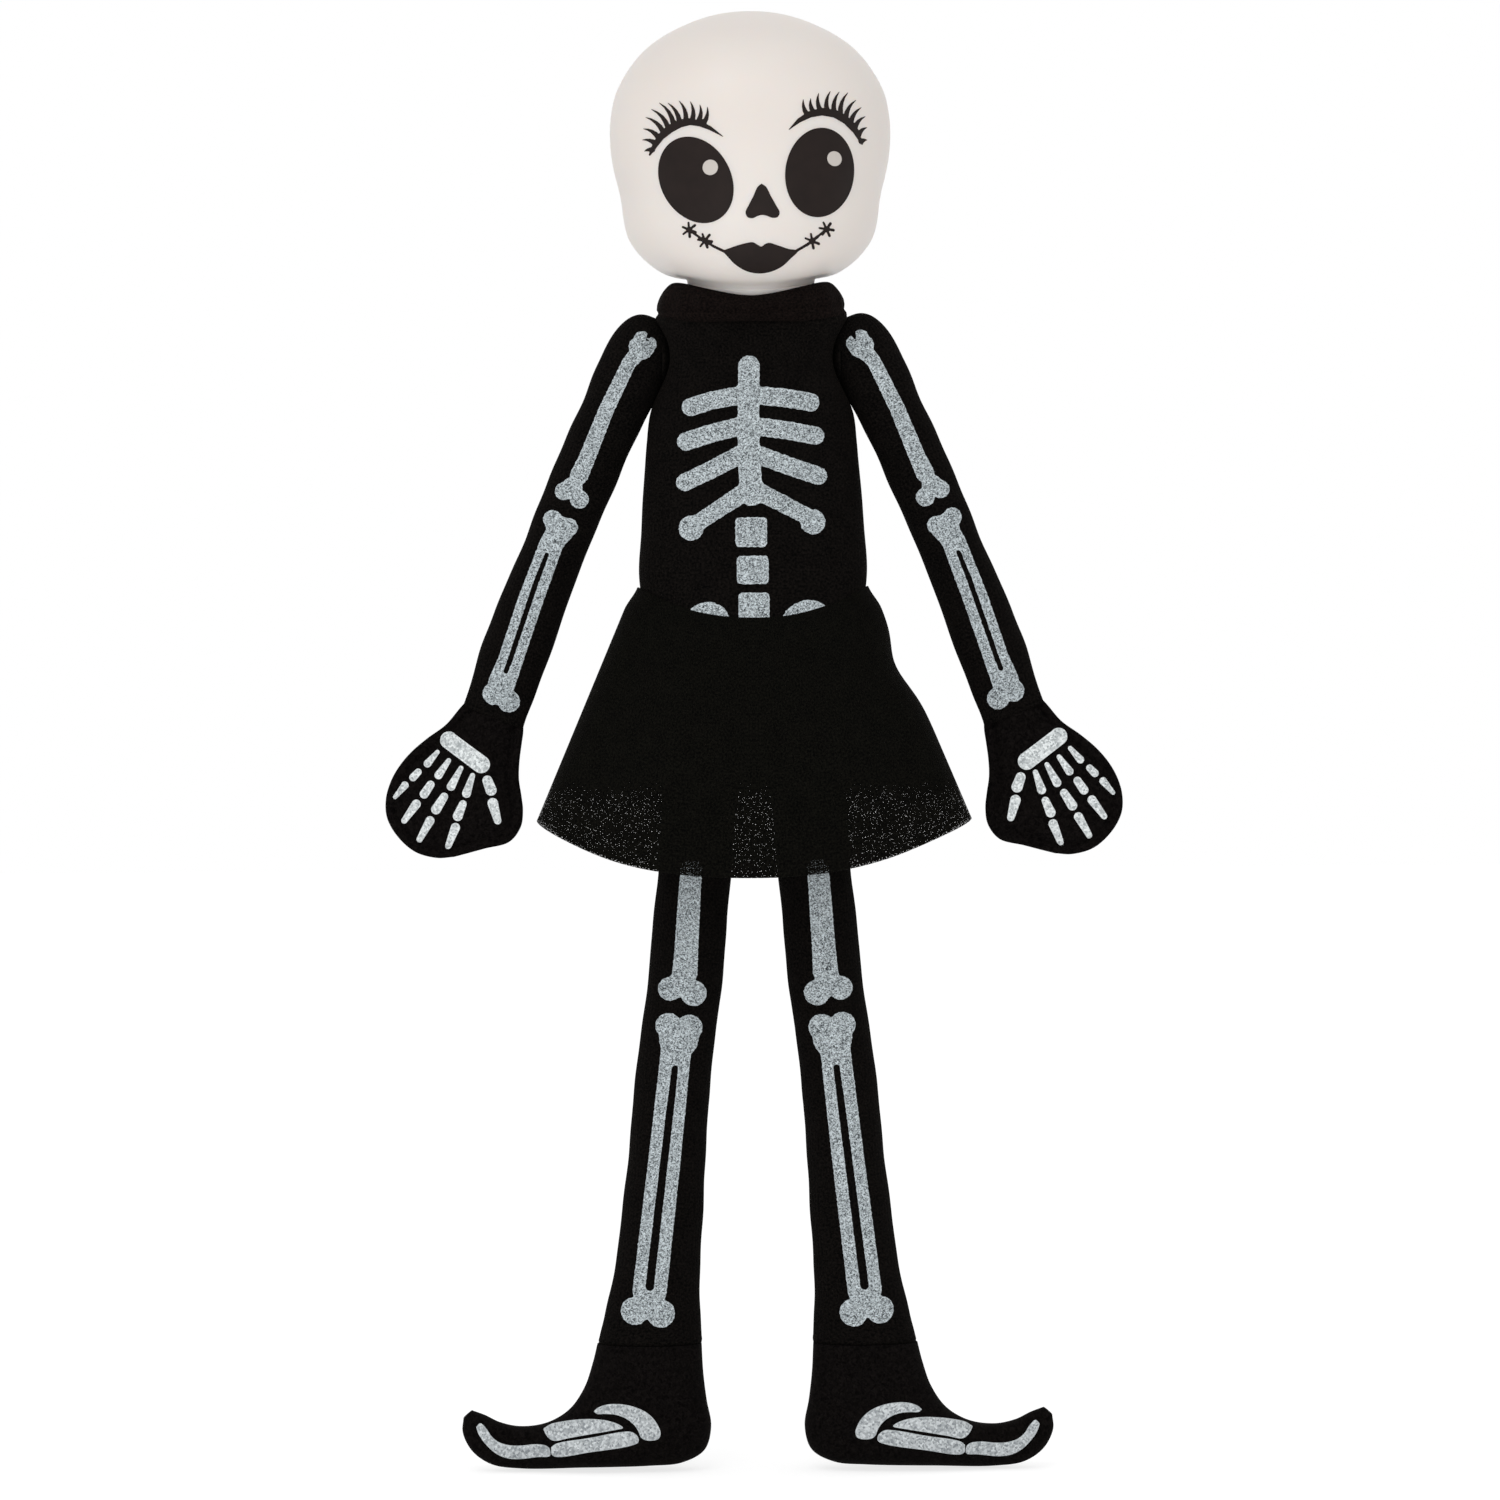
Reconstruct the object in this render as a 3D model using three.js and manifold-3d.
// A plush skeleton doll, 305 mm tall: a hollow vinyl head on a stuffed cloth body, with a rolled
// collar and a flared skirt. Sizes are millimetres and +Z is up. The face looks along -Y, and the
// doll's own left is +X. The origin is the middle of the flat of the back.
import * as THREE from "three";
import { mergeVertices } from "three/addons/utils/BufferGeometryUtils.js";
import Module from "manifold-3d";

// Cloth and running gaps
const clothThickness = 0.9;
const seamGap = 0.3;
const jointGap = 0.5;

// Torso. Heights are above its bottom seam, which is where the legs are sewn in.
const torsoHeight = 83.9;
const waistHeight = 25;
const bellyHeight = 42;
const bottomSeamHalfWidth = 18.6;
const hipHalfWidth = 22.2;
const waistHalfWidth = 23.6;
const bellyHalfWidth = 24.1;
const chestHalfWidth = 22.2;
const shoulderHalfWidth = 18.4;
const neckEndHalfWidth = 16;
const seamHalfDepth = 1.3;
const bellyHalfDepth = 15.4;
const neckEndHalfDepth = 13.8;
const backFlatDepth = 0.5;
const backFlatHeight = 46;

// Head and neck. Heights are above the chin line.
const headHeight = 55.6;
const headHalfWidth = 29.4;
const jawHalfWidth = 26.6;
const faceDepth = 27.2;
const backOfHeadDepth = 28.8;
const vinylThickness = 1.8;
const neckRimRadius = 13.35;
const neckRimHeight = 3.5;
const grooveRadius = 10.6;
const grooveHeight = 1.7;
const flangeRadius = 12.5;
const flangeHeight = 1.5;
const neckBoreRadius = 8.6;
const neckSpace = 4.1;
const neckStemReach = 3;

// Collar
const collarBottomHalfWidth = 19.8;
const collarTopHalfWidth = 17.3;
const collarBottomHalfDepth = 17.0;
const collarTopHalfDepth = 16.2;
const collarSideHeight = 9.4;
const collarFrontHeight = 6.9;
const collarBackHeight = 8.6;

// Skirt. Its waist and its hem are both lower in front than at the sides.
const skirtThickness = 0.7;
const skirtWaistSide = 27.3;
const skirtWaistFront = 23;
const skirtHemSide = -18.6;
const skirtHemFront = -31.5;
const skirtHemHalfWidth = 45.4;
const skirtHemHalfDepth = 27;
const skirtFolds = 7;
const skirtFoldDepth = 1.3;
const elasticThickness = 0.6;
const elasticWidth = 4;
const elasticTuck = 0.9;

// Arms. Lengths run along the arm from the middle of the shoulder.
const shoulderX = 24.8;
const shoulderDrop = 6.4;
const armTilt = 21.7;
const upperArmLength = 34.5;
const forearmLength = 46.2;
const armHalfWidth = 7.0;
const armHalfDepth = 6.5;
const wristHalfWidth = 6.8;
const wristHalfDepth = 2.6;
const shoulderSeamThickness = 0.8;
const shoulderSeamHalfAngle = 36;
const elbowWedge = 35;

// Hands
const handHalfDepth = 2.6;
const wristSpace = 1.6;

// Legs. Lengths run along the leg from the rolled seam at its top.
const hipX = 10.35;
const hipDrop = 1.5;
const legTilt = 5.4;
const thighLength = 57.6;
const shinLength = 70.5;
const legTopHalfWidth = 7.2;
const legTopHalfDepth = 0.95;
const legTopStart = 2;
const thighHalfWidth = 7.9;
const thighHalfDepth = 7.2;
const calfHalfWidth = 8.5;
const ankleHalfWidth = 11;
const ankleHalfDepth = 7.8;
const hipSeamRadius = 1.1;
const hipSeamLength = 11;
const kneeWedge = 35;

// Feet
const footHalfDepth = 8.6;
const toeThinning = 0.38;
const footEdgeRound = 5.2;
const ankleWedge = 14;

// Counts of the facets
const limbSides = 10;
const torsoSides = 20;
const headSides = 24;
const handSides = 17;
const footSides = 22;

const wasm = await Module();
wasm.setup();

const blackKnit = () => new THREE.MeshStandardMaterial({ color: 0x0e0d0c, roughness: 0.95 });
const blackFelt = () => new THREE.MeshStandardMaterial({ color: 0x11100f, roughness: 1 });
const stuffing = () => new THREE.MeshStandardMaterial({ color: 0xe9e6df, roughness: 1 });
const whiteVinyl = () => new THREE.MeshStandardMaterial({ color: 0xede6df, roughness: 0.5 });
const blackNylon = () => new THREE.MeshStandardMaterial({ color: 0x161616, roughness: 0.6 });
const blackElastic = () => new THREE.MeshStandardMaterial({ color: 0x131212, roughness: 0.9 });

const radians = THREE.MathUtils.degToRad;
const lerp = THREE.MathUtils.lerp;
const BIG = 400;

// A closed mesh as a solid that can be joined and cut. Faces that a pole has collapsed are left out.
function solidOf(geometry) {
  const bare = new THREE.BufferGeometry();
  bare.setAttribute("position", geometry.getAttribute("position").clone());
  if (geometry.index) bare.setIndex(geometry.index.clone());
  const merged = mergeVertices(bare, 1e-4);
  const faces = [];
  for (let i = 0; i < merged.index.count; i += 3) {
    const face = merged.index.array.slice(i, i + 3);
    if (new Set(face).size === 3) faces.push(...face);
  }
  return new wasm.Manifold(
    new wasm.Mesh({
      numProp: 3,
      vertProperties: new Float32Array(merged.attributes.position.array),
      triVerts: new Uint32Array(faces),
    }),
  );
}

function meshOf(name, solid, material) {
  const cut = solid.getMesh();
  const geometry = new THREE.BufferGeometry();
  geometry.setAttribute("position", new THREE.BufferAttribute(cut.vertProperties, 3));
  geometry.setIndex(new THREE.BufferAttribute(cut.triVerts, 1));
  geometry.computeVertexNormals();
  const mesh = new THREE.Mesh(geometry, material);
  mesh.name = name;
  return mesh;
}

// A smooth curve through stations of [position, value, value, ...], read at any position.
function through(stations) {
  const places = stations.map((s) => s[0]);
  const values = stations.flatMap((s) => s.slice(1));
  const curve = new THREE.CubicInterpolant(places, values, stations[0].length - 1);
  return (at) => Array.from(curve.evaluate(THREE.MathUtils.clamp(at, places[0], places.at(-1))));
}

// Rings of equal count, joined into a closed skin. The ends are closed with a fan of triangles,
// to an apex where one is given and otherwise to the ring's own middle.
function loft(rings, firstApex, lastApex) {
  const count = rings[0].length;
  const middle = (ring) =>
    ring.reduce((sum, p) => sum.add(p), new THREE.Vector3()).divideScalar(ring.length);
  const points = [...rings.flat(), firstApex ?? middle(rings[0]), lastApex ?? middle(rings.at(-1))];
  const first = points.length - 2;
  const last = points.length - 1;
  const faces = [];
  for (let j = 0; j < count; j++) {
    const k = (j + 1) % count;
    for (let i = 0; i + 1 < rings.length; i++) {
      const a = i * count;
      faces.push(a + j, a + k, a + count + k, a + j, a + count + k, a + count + j);
    }
    const top = (rings.length - 1) * count;
    faces.push(first, k, j, last, top + j, top + k);
  }
  return solidOf(geometryOf(points, faces));
}

function geometryOf(points, faces) {
  const geometry = new THREE.BufferGeometry().setFromPoints(points);
  geometry.setIndex(faces);
  return geometry;
}

// A shell between two grids of points of equal size, the outer and the inner face. Each row runs
// counter-clockwise as seen from the end that the rows go to. A closed shell joins up in its rows.
function shellOf(outer, inner, closed = false) {
  const columns = outer[0].length;
  const across = closed ? columns : columns - 1;
  const along = outer.length - 1;
  const at = (i, j) => j * columns + (i % columns);
  const under = outer.length * columns;
  const faces = [];
  const quad = (a, b, c, d) => faces.push(a, b, c, a, c, d);
  for (let i = 0; i < across; i++) {
    for (let j = 0; j < along; j++) {
      quad(at(i, j), at(i + 1, j), at(i + 1, j + 1), at(i, j + 1));
      quad(under + at(i, j), under + at(i, j + 1), under + at(i + 1, j + 1), under + at(i + 1, j));
    }
    quad(at(i, 0), under + at(i, 0), under + at(i + 1, 0), at(i + 1, 0));
    quad(at(i, along), at(i + 1, along), under + at(i + 1, along), under + at(i, along));
  }
  if (!closed)
    for (let j = 0; j < along; j++) {
      quad(at(0, j), at(0, j + 1), under + at(0, j + 1), under + at(0, j));
      quad(at(across, j), under + at(across, j), under + at(across, j + 1), at(across, j + 1));
    }
  return solidOf(geometryOf([...outer.flat(), ...inner.flat()], faces));
}

// A sheet of cloth: the surface place(u, v), with u and v from 0 to 1, given a thickness inwards.
function sheet(place, across, along, thickness, closed = false) {
  const step = 1e-3;
  const outer = [];
  const inner = [];
  for (let j = 0; j <= along; j++) {
    const v = j / along;
    const row = Array.from({ length: closed ? across : across + 1 }, (_, i) => i / across);
    outer.push(row.map((u) => place(u, v)));
    inner.push(
      row.map((u) => {
        const du = place(u + step, v).sub(place(u - step, v));
        const dv = place(u, Math.min(v + step, 1)).sub(place(u, Math.max(v - step, 0)));
        return place(u, v).addScaledVector(du.cross(dv).normalize(), -thickness);
      }),
    );
  }
  return shellOf(outer, inner, closed);
}

// The front and the back panel of a cloth skin, parted at the side seam. ring(row, inset) gives a
// whole ring of the skin, whose first half is the front where frontFirst is true.
function panelsOf(rows, ring, frontFirst) {
  return [1, -1].map((side) => {
    const firstHalf = (side === 1) === frontFirst;
    const grid = (inset) =>
      rows.map((row) => {
        const whole = ring(row, inset);
        const half = whole.length / 2;
        const start = firstHalf ? 0 : half;
        const picked = Array.from({ length: half + 1 }, (_, i) => whole[(start + i) % whole.length]);
        return picked.map((p) => {
          const depth = Math.max(-side * p.y, seamGap / 2);
          return p.clone().setY(-side * depth);
        });
      });
    return shellOf(grid(0), grid(clothThickness));
  });
}

// One point of a rounded-square outline: a circle for power 2, squarer above that.
function rounded(angle, halfWidth, halfDepth, power = 2) {
  const bend = (x) => Math.sign(x) * Math.abs(x) ** (2 / power);
  return [halfWidth * bend(Math.cos(angle)), halfDepth * bend(Math.sin(angle))];
}

// What lies behind a plane, seen from the side that its normal points to.
function behind(solid, point, normal) {
  const box = new THREE.BoxGeometry(BIG, BIG, BIG).translate(0, 0, -BIG / 2);
  const turn = new THREE.Quaternion().setFromUnitVectors(new THREE.Vector3(0, 0, 1), normal);
  box.applyQuaternion(turn).translate(point.x, point.y, point.z);
  return solid.intersect(solidOf(box));
}

const FRONT = new THREE.Vector3(0, -1, 0);
const BACK = new THREE.Vector3(0, 1, 0);
const UP = new THREE.Vector3(0, 0, 1);
const DOWN = new THREE.Vector3(0, 0, -1);

// A ball whose facets lie just outside its radius.
function ball(radius, centre) {
  const around = 16;
  const grown = radius / Math.cos(Math.PI / around) ** 2;
  const made = new THREE.SphereGeometry(grown, around, around / 2);
  return solidOf(made.translate(...centre.toArray()));
}

// Torso

const torsoSection = through([
  [0, bottomSeamHalfWidth, seamHalfDepth],
  [4, lerp(bottomSeamHalfWidth, hipHalfWidth, 0.5), lerp(seamHalfDepth, bellyHalfDepth, 0.25)],
  [9, hipHalfWidth, lerp(seamHalfDepth, bellyHalfDepth, 0.52)],
  [16, lerp(hipHalfWidth, waistHalfWidth, 0.8), lerp(seamHalfDepth, bellyHalfDepth, 0.76)],
  [waistHeight, waistHalfWidth, lerp(seamHalfDepth, bellyHalfDepth, 0.91)],
  [waistHeight + 7, bellyHalfWidth, lerp(seamHalfDepth, bellyHalfDepth, 0.975)],
  [bellyHeight, lerp(bellyHalfWidth, chestHalfWidth, 0.4), bellyHalfDepth],
  [torsoHeight - 24, chestHalfWidth, bellyHalfDepth - 0.2],
  [torsoHeight - 19.4, chestHalfWidth - 0.2, bellyHalfDepth - 0.4],
  [torsoHeight - 15, lerp(shoulderHalfWidth, chestHalfWidth, 0.5), bellyHalfDepth - 0.7],
  [torsoHeight - 10.7, shoulderHalfWidth, lerp(neckEndHalfDepth, bellyHalfDepth, 0.4)],
  [torsoHeight - 5, lerp(neckEndHalfWidth, shoulderHalfWidth, 0.5), neckEndHalfDepth + 0.2],
  [torsoHeight, neckEndHalfWidth, neckEndHalfDepth],
]);
const torsoPower = 2.25;

function torsoRing(z, inset, sides = torsoSides) {
  const [halfWidth, halfDepth] = torsoSection(z);
  return Array.from({ length: sides }, (_, i) => {
    const angle = (2 * Math.PI * i) / sides;
    const [x, y] = rounded(angle, halfWidth - inset, halfDepth - inset, torsoPower);
    return new THREE.Vector3(x, y, z);
  });
}

const torsoLevels = [4, 9, 16, waistHeight, waistHeight + 8, bellyHeight + 8].concat(
  [24, 19.4, 14, 8].map((below) => torsoHeight - below),
);

// The torso's pillow, shrunk by an inset on every side.
function torsoPillow(inset) {
  const bottom = inset > 0 ? inset + 1 : 0;
  return loft([bottom, ...torsoLevels, torsoHeight - inset].map((z) => torsoRing(z, inset)));
}

// The torso's cloth, drawn in at the top to the hole that the neck goes through.
function torsoPanels() {
  const neckHole = flangeRadius + seamGap;
  const ring = (z, inset) => {
    const lid = z > torsoHeight;
    const whole = torsoRing(Math.min(z, torsoHeight), inset);
    const level = z >= torsoHeight ? torsoHeight - inset : z;
    return whole.map((p, i) => {
      const angle = (2 * Math.PI * i) / torsoSides;
      return lid
        ? new THREE.Vector3(neckHole * Math.cos(angle), neckHole * Math.sin(angle), level)
        : p.setZ(level);
    });
  };
  return panelsOf([0, ...torsoLevels, torsoHeight, torsoHeight + 1], ring, false);
}

const shoulder = new THREE.Vector3(shoulderX, 0, torsoHeight - shoulderDrop);
const shoulderSocket = armHalfWidth + seamGap + shoulderSeamThickness + seamGap;
const backFlat = bellyHalfDepth - backFlatDepth;

// The hollows that the arms' round ends lie in.
function withShoulderSockets(solid) {
  return [1, -1].reduce(
    (cut, side) =>
      cut.subtract(ball(shoulderSocket, shoulder.clone().multiply(new THREE.Vector3(side, 1, 1)))),
    solid,
  );
}

function torsoMeshes() {
  const [front, back] = torsoPanels().map(withShoulderSockets);
  const filling = withShoulderSockets(torsoPillow(clothThickness + seamGap));
  return [
    meshOf("torso_front_panel", front, blackKnit()),
    meshOf("torso_back_panel", behind(back, new THREE.Vector3(0, backFlat, 0), BACK), blackKnit()),
    meshOf("torso_filling", filling, stuffing()),
  ];
}

// Head and neck

const neckBottom = torsoHeight + neckSpace;
const grooveBottom = neckBottom + flangeHeight;
const rimBottom = grooveBottom + grooveHeight;
const chinLine = rimBottom + neckRimHeight;

const headSection = through([
  [0, neckRimRadius + 0.4, neckRimRadius + 0.4, neckRimRadius + 0.4],
  [0.9, 18, 17.5, 17.5],
  [3.1, 21.5, 21, 20.5],
  [6, jawHalfWidth - 2.5, faceDepth - 4, backOfHeadDepth - 5.6],
  [10.7, jawHalfWidth, faceDepth - 2, backOfHeadDepth - 3],
  [18, jawHalfWidth + 0.8, faceDepth - 0.8, backOfHeadDepth - 0.9],
  [25, headHalfWidth - 0.3, faceDepth - 0.1, backOfHeadDepth],
  [31, headHalfWidth, faceDepth, backOfHeadDepth],
  [38.4, headHalfWidth - 1.5, faceDepth - 1.4, backOfHeadDepth - 1.5],
  [43.5, headHalfWidth - 4, faceDepth - 3.7, backOfHeadDepth - 4],
  [48.5, headHalfWidth - 8.2, faceDepth - 7.5, backOfHeadDepth - 8.2],
  [52, headHalfWidth - 13, faceDepth - 12, backOfHeadDepth - 13],
  [headHeight - 1.2, headHalfWidth - 20, faceDepth - 18, backOfHeadDepth - 19.5],
]);
const headPower = 2.15;

function headRing(height, inset, sides) {
  const [halfWidth, front, back] = headSection(height);
  return Array.from({ length: sides }, (_, i) => {
    const angle = (2 * Math.PI * i) / sides;
    const depth = Math.sin(angle) < 0 ? front : back;
    const [x, y] = rounded(angle, halfWidth - inset, depth - inset, headPower);
    return new THREE.Vector3(x, y, chinLine + height);
  });
}

function skull(inset, sides) {
  const levels = [0, 1.2, 3.4, 6.2, 10.5, 17, 24, 31, 38, 43.5, 48.5, 52.2, headHeight - 1.2];
  const kept = levels.filter((h) => h >= inset && h <= headHeight - 1.2 - 1.6 * inset);
  return loft(
    kept.map((h) => headRing(h, inset, sides)),
    undefined,
    new THREE.Vector3(0, 0.5, chinLine + headHeight - inset),
  );
}

// The neck that hangs below the skull: a rim that shows, a groove for the tie, and a flange.
function neckStub() {
  const overlap = 1;
  const profile = [
    [0, neckBottom],
    [flangeRadius, neckBottom],
    [flangeRadius, grooveBottom],
    [grooveRadius, grooveBottom],
    [grooveRadius, rimBottom],
    [neckRimRadius, rimBottom],
    [neckRimRadius, rimBottom + 0.45 * neckRimHeight],
    [neckRimRadius - 0.35, rimBottom + 0.5 * neckRimHeight],
    [neckRimRadius, rimBottom + 0.6 * neckRimHeight],
    [neckRimRadius, chinLine + overlap],
    [0, chinLine + overlap],
  ].map(([r, z]) => new THREE.Vector2(r, z));
  return solidOf(new THREE.LatheGeometry(profile, headSides).rotateX(Math.PI / 2));
}

function rod(radius, from, to, sides = 24) {
  const made = new THREE.CylinderGeometry(radius, radius, to - from, sides);
  return solidOf(made.rotateX(Math.PI / 2).translate(0, 0, (from + to) / 2));
}

function headMeshes() {
  const bore = rod(neckBoreRadius, neckBottom - 1, chinLine + vinylThickness + 2);
  const shell = skull(0, headSides)
    .add(neckStub())
    .subtract(skull(vinylThickness, 20).add(bore));
  const tie = rod(flangeRadius - 0.2, grooveBottom + seamGap, rimBottom - seamGap).subtract(
    rod(grooveRadius + seamGap, grooveBottom, rimBottom),
  );
  const coreBottom = torsoHeight - clothThickness;
  const disc = rod(flangeRadius - 0.1, coreBottom, neckBottom - seamGap);
  const stem = rod(neckBoreRadius - seamGap, coreBottom, chinLine + neckStemReach);
  return {
    head: [meshOf("head_shell", shell, whiteVinyl())],
    neck: [
      meshOf("neck_tie", tie, blackNylon()),
      meshOf("neck_core", disc.add(stem), stuffing()),
      meshOf("collar", collar(), blackKnit()),
    ],
  };
}

// The collar is a band rolled over on itself, lower in front than at the sides.
function collar() {
  const steps = 24;
  const bottom = torsoHeight + seamGap;
  const inside = neckRimRadius + seamGap;
  const roll = 1.3;
  const rings = Array.from({ length: steps }, (_, i) => {
    const angle = (2 * Math.PI * i) / steps;
    const [c, s] = [Math.cos(angle), Math.sin(angle)];
    const middle = s < 0 ? collarFrontHeight : collarBackHeight;
    const top = bottom + lerp(middle, collarSideHeight, c * c);
    const low = Math.hypot(collarBottomHalfWidth * c, collarBottomHalfDepth * s);
    const high = Math.hypot(collarTopHalfWidth * c, collarTopHalfDepth * s);
    const section = [
      [inside, bottom],
      [low - 1, bottom],
      [low, bottom + roll],
      [(low + high) / 2 + 0.3, (bottom + top) / 2],
      [high, top - roll],
      [(inside + high) / 2, top],
      [inside, top - roll],
    ];
    return section.map(([r, z]) => new THREE.Vector3(r * c, r * s, z));
  });
  return closedLoft(rings);
}

// Rings of equal count joined round into a closed loop.
function closedLoft(rings) {
  const count = rings[0].length;
  const faces = [];
  for (let i = 0; i < rings.length; i++)
    for (let j = 0; j < count; j++) {
      const [a, b] = [i * count, ((i + 1) % rings.length) * count];
      const k = (j + 1) % count;
      faces.push(a + j, b + j, b + k, a + j, b + k, a + k);
    }
  return solidOf(geometryOf(rings.flat(), faces));
}

// Skirt

const waistInset = -(seamGap + elasticThickness + seamGap + skirtThickness);

// How far a direction points to the side: 1 at the side seams, 0 in front and behind.
const sideways = (angle) => Math.cos(angle) ** 2;

function skirtPlace(angle, down) {
  const top = lerp(skirtWaistFront, skirtWaistSide, sideways(angle));
  const hem = lerp(skirtHemFront, skirtHemSide, sideways(angle) ** 1.4);
  const [waistWidth, waistDepth] = torsoSection(top);
  const fold = skirtFoldDepth * down * Math.cos(skirtFolds * (angle - Math.PI / 2));
  const halfWidth = lerp(waistWidth - waistInset, skirtHemHalfWidth, down) + fold * 0.4;
  const halfDepth = lerp(waistDepth - waistInset, skirtHemHalfDepth, down ** 0.9) + fold;
  const [x, y] = rounded(angle, halfWidth, halfDepth, torsoPower);
  return new THREE.Vector3(x, y, lerp(top, hem, down));
}

function skirtMeshes() {
  const seam = seamGap / 2 / skirtHemHalfDepth + 0.01;
  const panel = (from) =>
    sheet(
      (u, v) => skirtPlace(from + seam + (Math.PI - 2 * seam) * u, 1 - v),
      18,
      4,
      skirtThickness,
    );
  const elastic = sheet(
    (u, v) => {
      const angle = 2 * Math.PI * u;
      const top = lerp(skirtWaistFront, skirtWaistSide, sideways(angle)) - elasticTuck;
      const z = lerp(top - elasticWidth, top, v);
      const [halfWidth, halfDepth] = torsoSection(z);
      const out = seamGap + elasticThickness;
      return new THREE.Vector3(...rounded(angle, halfWidth + out, halfDepth + out, torsoPower), z);
    },
    torsoSides,
    2,
    elasticThickness,
    true,
  );
  return [
    meshOf("skirt_front_panel", panel(Math.PI), blackKnit()),
    meshOf("skirt_back_panel", panel(0), blackKnit()),
    meshOf("waist_elastic", elastic, blackElastic()),
  ];
}

// Limbs. A limb is a straight tube of cloth along an axis in the plane of the seams.

class Axis {
  constructor(start, tilt) {
    const lean = radians(tilt);
    this.start = start;
    this.along = new THREE.Vector3(Math.sin(lean), 0, -Math.cos(lean));
    this.across = new THREE.Vector3(Math.cos(lean), 0, Math.sin(lean));
  }
  at(distance) {
    return this.start.clone().addScaledVector(this.along, distance);
  }
  ring(distance, halfWidth, halfDepth) {
    return Array.from({ length: limbSides }, (_, i) => {
      const angle = (2 * Math.PI * i) / limbSides;
      return this.at(distance)
        .addScaledVector(this.across, halfWidth * Math.cos(angle))
        .addScaledVector(FRONT, halfDepth * Math.sin(angle));
    });
  }
}

// Distances along a limb, evenly spread between two ends.
const spread = (from, to, steps) =>
  Array.from({ length: steps + 1 }, (_, i) => lerp(from, to, i / steps));

// A ring of a limb at a distance, shrunk sideways by an inset.
function limbRing(axis, section, distance, inset) {
  const [halfWidth, halfDepth] = section(distance);
  return axis.ring(distance, halfWidth - inset, halfDepth - inset);
}

// The stuffing of two neighbours parts at a joint: each is cut square, and cut back by a wedge on
// the side that the joint bends to. Towards is the way out of the piece along its limb.
function partedAt(solid, point, towards, bendsTo, wedge) {
  const lean = radians(wedge);
  const slant = bendsTo
    .clone()
    .multiplyScalar(Math.cos(lean))
    .addScaledVector(towards, Math.sin(lean));
  const square = point.clone().addScaledVector(towards, -jointGap / 2);
  const slope = point.clone().addScaledVector(slant, -jointGap / 2);
  return behind(behind(solid, square, towards), slope, slant);
}

const armAxis = new Axis(shoulder, armTilt);
const wristAt = upperArmLength + forearmLength;
const armSection = through([
  [0, armHalfWidth, armHalfDepth],
  [12, armHalfWidth, armHalfDepth + 0.2],
  [upperArmLength, armHalfWidth - 0.2, armHalfDepth - 0.2],
  [upperArmLength + 20, armHalfWidth + 0.1, armHalfDepth],
  [wristAt - 14, armHalfWidth + 0.1, armHalfDepth - 0.3],
  [wristAt - 6, armHalfWidth - 0.1, lerp(wristHalfDepth, armHalfDepth, 0.6)],
  [wristAt, wristHalfWidth, wristHalfDepth],
]);

const fillInset = clothThickness + seamGap;

// A ring of the upper arm. Below zero, a place is an angle in degrees round its ball end.
function upperArmRing(place, inset) {
  if (place > 0) return limbRing(armAxis, armSection, place, inset);
  const angle = radians(90 + place);
  const reach = armHalfWidth - inset;
  const [halfWidth, halfDepth] = [reach, armHalfDepth - inset].map((r) => r * Math.sin(angle));
  return armAxis.ring(-reach * Math.cos(angle), halfWidth, halfDepth);
}
const ballEnd = [-90, -60, -32, -6];
const upperArmPlaces = [...ballEnd, ...spread(0.28, 0.68, 2).map((share) => share * upperArmLength)];

// The three meshes of a stretch of limb or an end: two panels of cloth and the filling.
function stuffed(name, [front, back], filling, material) {
  return [
    meshOf(name + "_front_panel", front, material()),
    meshOf(name + "_back_panel", back, material()),
    meshOf(name + "_filling", filling, stuffing()),
  ];
}

function shoulderSeamMesh(name) {
  const inner = armHalfWidth + seamGap;
  const outer = inner + shoulderSeamThickness;
  const reach = radians(shoulderSeamHalfAngle);
  const arc = (radius, from, to) =>
    Array.from({ length: 5 }, (_, i) => {
      const a = lerp(from, to, i / 4);
      return new THREE.Vector2(radius * Math.sin(a), radius * Math.cos(a));
    });
  const profile = [...arc(inner, 0, reach), ...arc(outer, reach, 0)];
  profile[0].x = 0;
  profile.at(-1).x = 0;
  const cap = new THREE.LatheGeometry(profile, 16).rotateZ(Math.PI / 2);
  cap.translate(...shoulder.toArray());
  return meshOf(name, solidOf(cap), blackKnit());
}

function upperArmMeshes(name) {
  const end = upperArmLength - seamGap / 2;
  const skin = panelsOf([...upperArmPlaces, end], upperArmRing, true);
  const torso = torsoPillow(-seamGap);
  const rings = [...upperArmPlaces.slice(1), upperArmLength + 2].map((p) => upperArmRing(p, fillInset));
  const filling = partedAt(
    loft(rings, armAxis.at(fillInset - armHalfWidth)),
    armAxis.at(upperArmLength),
    armAxis.along,
    FRONT,
    elbowWedge,
  );
  return stuffed(name, skin.map((panel) => panel.subtract(torso)), filling, blackKnit);
}

function forearmMeshes(name) {
  const places = [upperArmLength + 16, wristAt - 14, wristAt - 6];
  const ring = (distance, inset) => limbRing(armAxis, armSection, distance, inset);
  const ends = [upperArmLength + seamGap / 2, wristAt - seamGap / 2];
  const skin = panelsOf([ends[0], ...places, ends[1]], ring, true);
  const long = loft([upperArmLength - 2, ...places, wristAt].map((d) => ring(d, fillInset)));
  const upwards = armAxis.along.clone().negate();
  const parted = partedAt(long, armAxis.at(upperArmLength), upwards, FRONT, elbowWedge);
  const filling = behind(parted, armAxis.at(wristAt - wristSpace), armAxis.along);
  return stuffed(name, skin, filling, blackKnit);
}

// Flat pillows. A closed outline in the plane of the seams, rounded at its edge and given a depth.

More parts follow.
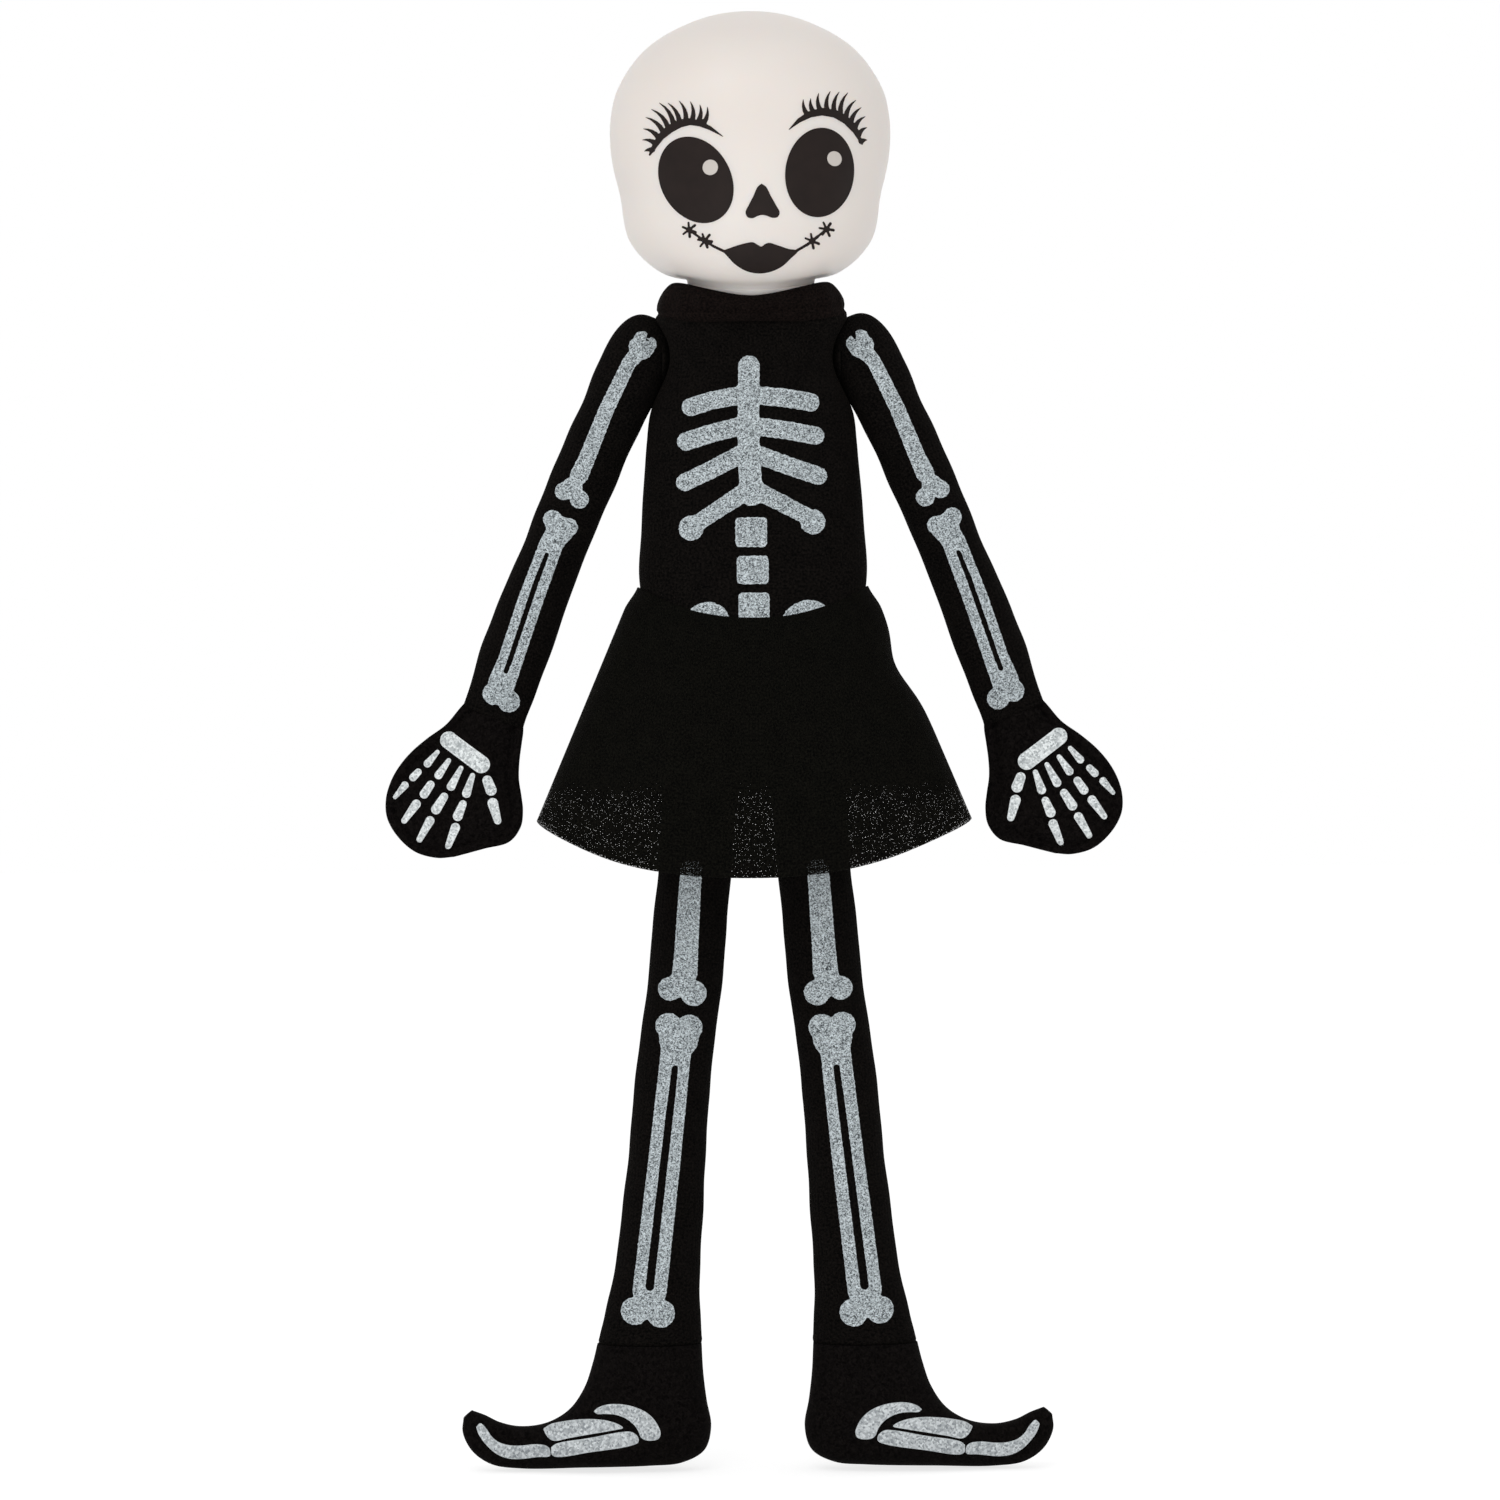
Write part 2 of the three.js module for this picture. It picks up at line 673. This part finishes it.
function smoothOutline(points, count) {
  const curve = new THREE.CatmullRomCurve3(
    points.map(([x, z]) => new THREE.Vector3(x, 0, z)),
    true,
    "centripetal",
  );
  return curve.getSpacedPoints(count).slice(0, count);
}

// The outline moved inwards by a distance that may change along it, square to itself.
function insetOutline(outline, distance) {
  const count = outline.length;
  return outline.map((p, i) => {
    const along = outline[(i + 1) % count].clone().sub(outline[(i + count - 1) % count]);
    const inwards = new THREE.Vector3(-along.z, 0, along.x).normalize();
    return p.clone().addScaledVector(inwards, distance(p.x));
  });
}

// Rings of a pillow, each a closed outline at its own depth, with both ends closed flat.
function stack(rings) {
  const count = rings[0].length;
  const lid = (ring) => {
    const drawn = ring.map((p) => new THREE.Vector2(p.x, p.z));
    return THREE.ShapeUtils.triangulateShape(drawn, []);
  };
  const last = (rings.length - 1) * count;
  const faces = lid(rings[0]).flat();
  for (const [a, b, c] of lid(rings.at(-1))) faces.push(last + a, last + c, last + b);
  for (let i = 0; i + 1 < rings.length; i++)
    for (let j = 0; j < count; j++) {
      const [a, b, k] = [i * count, (i + 1) * count, (j + 1) % count];
      faces.push(a + j, b + j, b + k, a + j, b + k, a + k);
    }
  return solidOf(geometryOf(rings.flat(), faces));
}

const roundTo = 64;

// A ring of a pillow at an angle up from its edge, from -roundTo in front to roundTo behind.
function pillowRing(form, angle, inset) {
  const thinning = form.thinning ?? (() => 1);
  const share = 1 - Math.cos(radians(angle));
  const moved = insetOutline(form.outline, (x) => lerp(inset, form.edgeRound * thinning(x), share));
  const y = ((form.halfDepth - inset) * Math.sin(radians(angle))) / Math.sin(radians(roundTo));
  return moved.map((p) => new THREE.Vector3(p.x, y * thinning(p.x), p.z));
}

function pillow(form, inset) {
  return stack([-roundTo, 0, roundTo].map((angle) => pillowRing(form, angle, inset)));
}

// The front and the back layer of cloth of a pillow, parted at the edge seam.
function pillowPanels(form) {
  const half = (side, inset, seam) => {
    const edge = pillowRing(form, 0, inset).map((p) => p.setY(-side * seam));
    const rings = [edge, pillowRing(form, -side * 34, inset), pillowRing(form, -side * roundTo, inset)];
    return stack(side === 1 ? rings.reverse() : rings);
  };
  return [1, -1].map((side) => half(side, 0, seamGap / 2).subtract(half(side, clothThickness, 0)));
}

// Moves an outline that is drawn round its joint to where the joint is.
function placed(points, joint) {
  return points.map((p) => p.clone().add(joint));
}

// The mitten, drawn round the middle of the wrist seam: outwards and up, counter-clockwise as
// seen from the front. Its first and last points run up inside the sleeve and are cut off.
const handOutline = [
  [-7.6, 6],
  [-6.6, -1.5],
  [-5.4, -10],
  [-6.0, -19],
  [-3.6, -25.4],
  [4, -28.4],
  [12, -29.3],
  [18.6, -27.2],
  [22.5, -22.5],
  [22.9, -17],
  [20, -10.4],
  [14.2, -4.4],
  [8.6, 0.8],
  [5.5, 6],
];

// The foot from the side, toes outwards and curled up, drawn round the middle of the ankle seam.
const footOutline = [
  [-10.4, 6],
  [-10.8, -2],
  [-11.6, -11],
  [-11.6, -19],
  [-8.3, -23.6],
  [-1.6, -25.4],
  [14, -25.9],
  [32, -26],
  [37.6, -23.6],
  [39.8, -18],
  [38.2, -14.2],
  [34.4, -15.4],
  [28, -17.5],
  [20.2, -15.9],
  [15.4, -12],
  [12.9, -5.5],
  [11.2, 2],
  [9.8, 6],
];

function handMeshes(name) {
  const wrist = armAxis.at(wristAt);
  const outline = placed(smoothOutline(handOutline, handSides), wrist);
  const form = { outline, halfDepth: handHalfDepth, edgeRound: handHalfDepth };
  const upwards = armAxis.along.clone().negate();
  const below = (solid, gap) =>
    behind(solid, wrist.clone().addScaledVector(armAxis.along, gap), upwards);
  const skin = pillowPanels(form).map((panel) => below(panel, seamGap / 2));
  return stuffed(name, skin, below(pillow(form, fillInset), wristSpace), blackFelt);
}

const legAxis = new Axis(new THREE.Vector3(hipX, 0, -hipDrop), legTilt);
const ankleAt = thighLength + shinLength;
const legSection = through([
  [legTopStart, legTopHalfWidth, legTopHalfDepth],
  [legTopStart + 4, lerp(legTopHalfWidth, thighHalfWidth, 0.6), thighHalfDepth * 0.54],
  [legTopStart + 9, thighHalfWidth, thighHalfDepth * 0.88],
  [legTopStart + 16, thighHalfWidth, thighHalfDepth],
  [thighLength, thighHalfWidth, thighHalfDepth - 0.2],
  [thighLength + 22, lerp(thighHalfWidth, calfHalfWidth, 0.3), thighHalfDepth],
  [ankleAt - 30, calfHalfWidth, thighHalfDepth + 0.2],
  [ankleAt - 18, calfHalfWidth + 0.4, lerp(thighHalfDepth, ankleHalfDepth, 0.5)],
  [ankleAt - 9, calfHalfWidth + 0.9, ankleHalfDepth - 0.2],
  [ankleAt, ankleHalfWidth, ankleHalfDepth],
]);

function hipSeamMesh(name) {
  const made = new THREE.CylinderGeometry(hipSeamRadius, hipSeamRadius, hipSeamLength, 10);
  made.rotateZ(Math.PI / 2).translate(hipX, 0, -hipDrop);
  return meshOf(name, solidOf(made), blackKnit());
}

function thighMeshes(name) {
  const ring = (distance, inset) => limbRing(legAxis, legSection, distance, inset);
  const places = [legTopStart + 4, legTopStart + 9, legTopStart + 16];
  const skin = panelsOf([legTopStart, ...places, thighLength - seamGap / 2], ring, true);
  const long = loft([legTopStart + 2.4, ...places, thighLength + 2].map((d) => ring(d, fillInset)));
  const filling = partedAt(long, legAxis.at(thighLength), legAxis.along, BACK, kneeWedge);
  return stuffed(name, skin, filling, blackKnit);
}

function shinMeshes(name) {
  const ring = (distance, inset) => limbRing(legAxis, legSection, distance, inset);
  const places = [thighLength + 22, ankleAt - 30, ankleAt - 18, ankleAt - 9];
  const ankle = legAxis.at(ankleAt);
  const skin = panelsOf([thighLength + seamGap / 2, ...places, ankleAt + 2], ring, true);
  const seam = ankle.clone().addScaledVector(UP, seamGap / 2);
  const long = loft([thighLength - 2, ...places, ankleAt + 2].map((d) => ring(d, fillInset)));
  const upwards = legAxis.along.clone().negate();
  const parted = partedAt(long, legAxis.at(thighLength), upwards, BACK, kneeWedge);
  return stuffed(
    name,
    skin.map((panel) => behind(panel, seam, DOWN)),
    peaked(parted, ankle, DOWN),
    blackKnit,
  );
}

// The stuffing above and below the ankle comes to a blunt ridge, which lets the foot tilt.
function peaked(solid, point, towards) {
  return [1, -1].reduce((cut, side) => {
    const slant = new THREE.Vector3(side * Math.sin(radians(ankleWedge)), 0, 0);
    slant.addScaledVector(towards, Math.cos(radians(ankleWedge)));
    return behind(cut, point.clone().addScaledVector(towards, -jointGap / 2), slant);
  }, solid);
}

function footMeshes(name) {
  const ankle = legAxis.at(ankleAt);
  const outline = placed(smoothOutline(footOutline, footSides), ankle);
  const thinning = (x) => 1 - toeThinning * THREE.MathUtils.smoothstep(x - ankle.x, 8, 36);
  const form = { outline, halfDepth: footHalfDepth, edgeRound: footEdgeRound, thinning };
  const seam = ankle.clone().addScaledVector(DOWN, seamGap / 2);
  const skin = pillowPanels(form).map((panel) => behind(panel, seam, UP));
  return stuffed(name, skin, peaked(pillow(form, fillInset), ankle, UP), blackFelt);
}

// One arm and one leg, built for the doll's left.
function sideMeshes(side) {
  const [arm, leg] = [new THREE.Group(), new THREE.Group()];
  arm.add(
    shoulderSeamMesh(side + "_shoulder_seam"),
    ...upperArmMeshes(side + "_upper_arm"),
    ...forearmMeshes(side + "_forearm"),
    ...handMeshes(side + "_hand"),
  );
  leg.add(
    hipSeamMesh(side + "_hip_seam"),
    ...thighMeshes(side + "_thigh"),
    ...shinMeshes(side + "_shin"),
    ...footMeshes(side + "_foot"),
  );
  return [arm, leg];
}

const { head, neck } = headMeshes();
const left = new THREE.Group();
left.add(...sideMeshes("left"));
const right = new THREE.Group();
right.scale.x = -1;
right.add(...sideMeshes("right"));

const doll = new THREE.Group();
doll.add(...torsoMeshes(), ...head, ...neck, ...skirtMeshes(), left, right);
doll.position.set(0, -backFlat, -backFlatHeight);

const part = new THREE.Group();
part.add(doll);

export default part;
